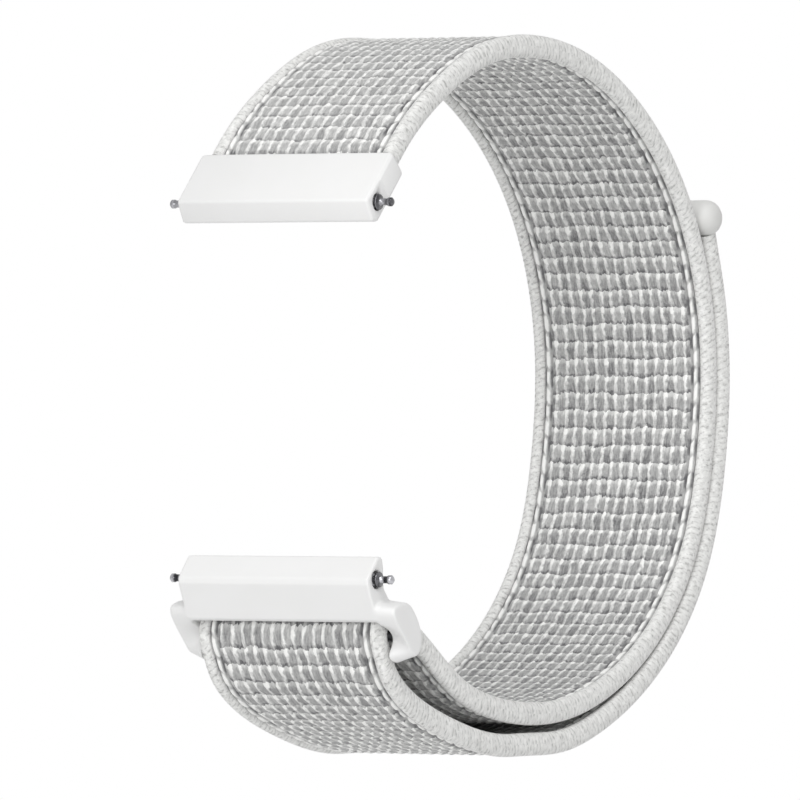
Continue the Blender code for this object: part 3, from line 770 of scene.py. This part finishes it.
# each stretch's name, start, end, bodies, and the hinge and frame nodes that it covers
stretches = [
    ("strap_loop_upper", stretchSettings["hem"], loopSplit, ["strap"], None, "strap_loop"),
    ("strap_loop_lower", loopSplit, wrapStartPlace, ["strap"], None, None),
    ("strap_wrap", wrapStartPlace, lowerMiddle, ["strap", "tail_lower"], 0, "tail_lower"),
    ("tail_front", lowerMiddle, middleMiddle, ["tail_lower", "tail_middle"], 1, "tail_middle"),
    ("tail_back", middleMiddle, tipStart, ["tail_middle", "tail_end"], 2, "tail_end"),
    ("tail_tip", tipStart, tongueEnd, ["tail_end"], None, None),
]
for name, start, end, bodies, bend, nodes in stretches:
    hinge = None if bend is None else bendPlaces[bend]
    thin = tailStop if name == "tail_tip" else None
    band = wovenBand(name + "_weave", start, end, weaveSettings, thin)
    fastenTo(band, bodies, hinge)
    if nodes:
        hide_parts(nodes + "_band")
    for hand, word in ((-1, "left"), (1, "right")):
        first = weaveSettings["pocketEnd"] if name == "strap_loop_upper" else start
        last = tailStop + stretchSettings["pipingInBead"] if name == "tail_tip" else end
        cord = piping(f"{name}_piping_{word}", first, last, hand, pipingSettings)
        fastenTo(cord, bodies, hinge)
        if nodes:
            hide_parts(f"{nodes}_piping_{word}")
    print(name, "made")

# hook tape on the inner face of the tail's end

hookSettings = {
    "halfWidth": 0.0069,
    "startMargin": 0.0013,  # past the hinge
    "endMargin": 0.0010,  # before the bead
    "step": 0.0005,
    "hookMargin": 0.0005,  # from the tape's ends to the first hooks
    "sideMargin": 0.0003,
    "hookSink": 0.00002,  # how deep the hooks start in the tape
    "tapeLow": 0.00103,
    "tapeHigh": 0.00122,
    "stem": 0.00010,  # up to where a hook starts to bend
    "bend": 0.00008,  # radius
    "bendDegrees": 200,
    "wire": 0.00006,
    "spacingAcross": 0.00062,
    "spacingAlong": 0.00080,
}


def hookTape(settings):
    start, end = bendPlaces[2] + settings["startMargin"], tailStop - settings["endMargin"]
    along = round((end - start) / settings["step"])
    made, column, row = gridShell("hook_tape", 4, along)
    ring = np.array([(-1, 0), (1, 0), (1, 1), (-1, 1), (-1, 0)])[column]
    s = start + (end - start) * row / along
    out = np.where(ring[:, 1] == 1, settings["tapeHigh"], settings["tapeLow"])
    flat = onLine(line, linePlaces, s) + out[:, None] * leftOf(line, linePlaces, s)
    places = np.stack([ring[:, 0] * settings["halfWidth"], flat[:, 0], flat[:, 1]], axis=1)
    closeShell(made, places, np.stack([ring[:, 0], s * 1000], axis=1), hookTapeNylon)
    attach(made, "tail_end")
    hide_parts("hook_patch")
    return start, end


def oneHook(settings):
    # a four-sided wire is pulled up and then spun over into its hooked end
    bpy.ops.object.select_all(action="DESELECT")
    bpy.ops.mesh.primitive_circle_add(vertices=4, radius=settings["wire"], fill_type="NGON")
    made = bpy.context.object
    bpy.ops.object.mode_set(mode="EDIT")
    bpy.ops.mesh.select_all(action="SELECT")
    bpy.ops.mesh.extrude_region_move(TRANSFORM_OT_translate={"value": (0, 0, settings["stem"])})
    bpy.ops.mesh.spin(
        steps=4, angle=math.radians(settings["bendDegrees"]),
        center=(0, settings["bend"], settings["stem"]), axis=(1, 0, 0),
    )
    bpy.ops.object.mode_set(mode="OBJECT")
    places = np.array([vertex.co for vertex in made.data.vertices])
    faces = [tuple(face.vertices) for face in made.data.polygons]
    bpy.data.objects.remove(made, do_unlink=True)
    return places, faces


def hookField(start, end, settings):
    # every hook of the tape is a copy of one hook, leaning alternately forward and back
    one, oneFaces = oneHook(settings)
    places, faces = [], []
    rows = int((end - start - 2 * settings["hookMargin"]) / settings["spacingAlong"])
    columns = int(2 * (settings["halfWidth"] - settings["sideMargin"]) / settings["spacingAcross"])
    for i in range(rows):
        s = start + settings["hookMargin"] + settings["spacingAlong"] * (i + 0.5)
        up = leftOf(line, linePlaces, s)
        along = np.array([up[1], -up[0]])
        foot = onLine(line, linePlaces, s) + (settings["tapeHigh"] - settings["hookSink"]) * up
        for j in range(columns):
            flip = 1 if (i + j) % 2 else -1
            x = settings["spacingAcross"] * (j + 0.5 * (i % 2) - columns / 2)
            flat = foot + one[:, 1:2] * flip * along + one[:, 2:3] * up
            first = len(places) * len(one)
            places.append(np.concatenate([x + flip * one[:, 0:1], flat], axis=1))
            faces += [tuple(first + k for k in face) for face in oneFaces]
    made = closedMesh("tape_hooks", np.concatenate(places).tolist(), faces)
    bpy.ops.object.shade_smooth_by_angle(angle=math.radians(60))
    made.data.materials.append(hookTapeNylon)
    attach(made, "tail_end")


tapeStart, tapeEnd = hookTape(hookSettings)
hookField(tapeStart, tapeEnd, hookSettings)
print("hook tape made")

# the lower adapter: lug and arms in one moulding. Each arm is fuller at its inner face, where it
# hooks round the end of the cross bar, and is drawn in towards its outer face. Outlines are
# (y, z) in metres

adapterSettings = {
    "lugHalf": 0.0098,
    "armInner": 0.0097,
    "armOuter": 0.0116,
    "seat": 0.0032,  # radius of the underside, round the cross bar
    "seatDegrees": (160, 148, 136, 124),
    "lug": [  # from the pin: up the back, over the top and down the front
        (0.0020, -0.0016), (0.00125, -0.0008), (0.00115, 0.0), (0.00115, 0.0009), (0.0010, 0.0017),
        (0.0007, 0.0020), (0.00015, 0.0020), (-0.00155, 0.0001), (-0.00155, -0.00045),
        (-0.0001, -0.0036),
    ],
    "inner": [  # from the cross bar, down the front, round the hook and up the back
        (-0.0040, 0.0028), (-0.0042, 0.0020), (-0.0035, 0.0010), (-0.0022, 0.0007), (-0.0013, 0.00025),
        (-0.00085, -0.00035), (-0.0013, -0.0011), (-0.00175, -0.0018), (-0.0011, -0.0024),
        (0.0001, -0.0025), (0.00085, -0.0019), (0.0010, -0.0009), (0.0010, -0.0002), (0.00085, 0.0005),
        (0.0004, 0.0014), (-0.0002, 0.0021), (-0.0010, 0.00285), (-0.0020, 0.0032),
    ],
    "outer": [
        (-0.0037, 0.0025), (-0.0038, 0.0018), (-0.0032, 0.0010), (-0.0025, 0.0002), (-0.0019, -0.0004),
        (-0.0014, -0.0009), (-0.0010, -0.0013), (-0.0006, -0.0016), (-0.0002, -0.0018),
        (0.0003, -0.0018), (0.0008, -0.0013), (0.0010, -0.0007), (0.0010, 0.0), (0.0008, 0.0006),
        (0.00035, 0.0014), (-0.0002, 0.00205), (-0.0009, 0.0027), (-0.0019, 0.00295),
    ],
    "boreRadius": 0.0008,  # for the spring bar
    "seatRadius": 0.00065,  # for the cross bar
    "seatReach": 0.0111,
    "boreSides": 32,
    "voxel": 0.00012,
    "smoothing": 6,
}


def cutCorners(points, rounds=2):
    # rounds an outline off by cutting its corners again and again
    points = np.array(points)
    for _ in range(rounds):
        ahead = np.roll(points, -1, axis=0)
        points = np.stack([0.75 * points + 0.25 * ahead, 0.25 * points + 0.75 * ahead], axis=1)
        points = points.reshape(-1, 2)
    return points


def loft(name, rings):
    # a closed solid through (x, outline) rings that have the same number of points
    count = len(rings[0][1])
    places = [(x, y, z) for x, outline in rings for y, z in outline]
    faces = [tuple(range(count)), tuple(range(len(places) - count, len(places)))]
    for ring in range(len(rings) - 1):
        for k in range(count):
            low, high = ring * count + k, ring * count + (k + 1) % count
            faces.append((low, high, high + count, low + count))
    return closedMesh(name, places, faces)


def drill(made, centre, radius, reach, sides):
    turns = np.linspace(0, 2 * math.pi, sides, endpoint=False)
    ring = centre + radius * np.stack([np.cos(turns), np.sin(turns)], axis=1)
    tool = loft("drill", [(-reach, ring), (reach, ring)])
    step = made.modifiers.new("bore", "BOOLEAN")
    step.operation = "DIFFERENCE"
    step.object = tool
    bpy.context.view_layer.objects.active = made
    bpy.ops.object.modifier_apply(modifier="bore")
    bpy.data.objects.remove(tool, do_unlink=True)


def lowerAdapter(settings):
    pin, bar = (np.array(boxMiddle(node)[1:]) for node in ("lower_bar_tube", "cross_bar"))
    under = [bar + settings["seat"] * heading(math.radians(a)) for a in settings["seatDegrees"]]
    outline = under + [pin + np.array(point) for point in settings["lug"]]
    half, sides = settings["lugHalf"], settings["boreSides"]
    pieces = [loft("lower_adapter_smooth", [(-half, outline), (half, outline)])]
    drill(pieces[0], pin, settings["boreRadius"], 2 * half, sides)
    inner, outer = (bar + cutCorners(settings[key]) for key in ("inner", "outer"))
    for side in (-1, 1):
        rings = [(side * settings["armInner"], inner), (side * settings["armOuter"], outer)]
        pieces.append(loft("arm", rings))
        drill(pieces[-1], bar, settings["seatRadius"], settings["seatReach"], sides)
    bpy.ops.object.select_all(action="DESELECT")
    for piece in pieces:
        piece.select_set(True)
    made = pieces[0]
    bpy.context.view_layer.objects.active = made
    bpy.ops.object.join()
    union = made.modifiers.new("union", "REMESH")
    union.mode = "VOXEL"
    union.voxel_size = settings["voxel"]
    union.use_smooth_shade = True
    rounding = made.modifiers.new("rounding", "SMOOTH")
    rounding.iterations = settings["smoothing"]
    bpy.ops.object.modifier_apply(modifier="union")
    bpy.ops.object.modifier_apply(modifier="rounding")
    made.data.materials.append(mouldedPlastic)
    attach(made, "lower_adapter")
    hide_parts("lower_adapter")
    print("lower adapter made:", len(made.data.polygons), "faces")


lowerAdapter(adapterSettings)

# hard parts: each frame node merged and smoothed, then given its finish

hardParts = {
    "upper_adapter": ("white_plastic", mouldedPlastic),
    "tail_bead": ("white_plastic", shadedBeadPlastic),
    "retaining_rod": ("steel", shadedDrawnSteel),
    "cross_bar": ("steel", shadedDrawnSteel),
}
for word in ("upper", "lower"):
    hardParts[f"{word}_bar_tube"] = ("steel", turnedSteel)
    for hand in ("left", "right"):
        hardParts[f"{word}_bar_plunger_{hand}"] = ("steel", turnedSteel)


def smoothCopy(node, surface):
    source = frame["nodes"][node]
    made = source.copy()
    made.data = source.data.copy()
    made.parent = None
    for key in list(made.keys()):
        del made[key]
    made.name = node + "_smooth"
    bpy.context.scene.collection.objects.link(made)
    bpy.ops.object.select_all(action="DESELECT")
    made.hide_viewport = False
    made.select_set(True)
    bpy.context.view_layer.objects.active = made
    bpy.ops.object.mode_set(mode="EDIT")
    bpy.ops.mesh.select_all(action="SELECT")
    bpy.ops.mesh.remove_doubles(threshold=0.000001)
    bpy.ops.object.mode_set(mode="OBJECT")
    bpy.ops.object.shade_smooth_by_angle(angle=math.radians(38))
    made.data.materials.clear()
    made.data.materials.append(surface)
    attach(made, source["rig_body"])
    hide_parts(node)


for node, (slotName, surface) in hardParts.items():
    smoothCopy(node, surface)
for node in ("upper_bar_spring", "lower_bar_spring"):
    frame["nodes"][node].data.materials.clear()
    frame["nodes"][node].data.materials.append(turnedSteel)
print("hard parts finished")

# floor, light and background

studioSettings = {
    "floorHalf": 0.60,
    "floorDrop": 0.080,  # below the reach of the peeled tail, which hangs lower than the loop
    "floorHex": "#F2F2F2",
    "floorGlow": 0.60,
    "worldStrength": 0.48,
    "keyPlace": (0.38, -0.50, 0.68),
    "keyPower": 2.95,
    "keySize": 0.45,
    "fillPlace": (0.30, -0.95, 0.08),
    "fillPower": 3.9,
    "fillSize": 0.8,
    "aim": (0, 0, 0.032),  # the strap's middle
}


def seenRays(tree):
    # 1 for a ray that shows the background: from the camera, by a reflection or through glass
    path = addNode(tree, "LightPath").node
    seen = {0: path.outputs["Is Camera Ray"], 1: path.outputs["Is Glossy Ray"]}
    seen = addNode(tree, "Math", seen, operation="MAXIMUM")
    seen = {0: seen, 1: path.outputs["Is Transmission Ray"]}
    return addNode(tree, "Math", seen, operation="MAXIMUM")


def addFloor(settings, height):
    bpy.ops.object.select_all(action="DESELECT")
    bpy.ops.mesh.primitive_circle_add(
        vertices=96, radius=settings["floorHalf"], fill_type="NGON", location=(0, 0, height)
    )
    floor = bpy.context.object
    floor.name = "studioFloor"
    # matt white paper: seen pure white where it is lit, and the shadow stays
    values = {"Base Color": hexColour(settings["floorHex"]), "Roughness": 0.9}
    made, tree, shader = newMaterial("paperFloor", values)
    glow = addNode(tree, "Emission", {"Color": (1, 1, 1, 1), "Strength": settings["floorGlow"]})
    both = addNode(tree, "AddShader", {0: shader.outputs[0], 1: glow})
    pick = addNode(tree, "MixShader", {0: seenRays(tree), 1: shader.outputs[0], 2: both})
    tree.links.new(pick, tree.nodes["Material Output"].inputs[0])
    floor.data.materials.append(made)


def addLights(settings):
    for name in ("key", "fill"):
        place = Vector(settings[name + "Place"])
        bpy.ops.object.light_add(type="AREA", location=place)
        lamp = bpy.context.object
        lamp.name = name + "Light"
        lamp.data.energy = settings[name + "Power"]
        lamp.data.size = settings[name + "Size"]
        aim = Vector(settings["aim"]) - place
        lamp.rotation_euler = aim.to_track_quat("-Z", "Y").to_euler()


def addWorld(settings):
    world = bpy.data.worlds.new("studioWorld")
    bpy.context.scene.world = world
    world.use_nodes = True
    tree = world.node_tree
    background = tree.nodes["Background"]
    background.inputs["Color"].default_value = (1, 1, 1, 1)
    strength = addNode(tree, "MapRange", {0: seenRays(tree), 3: settings["worldStrength"], 4: 1.0})
    tree.links.new(strength, background.inputs["Strength"])


addFloor(studioSettings, cadBox[0].z - studioSettings["floorDrop"])
addLights(studioSettings)
addWorld(studioSettings)
bpy.context.scene.view_settings.view_transform = "Standard"
print("studio set up")
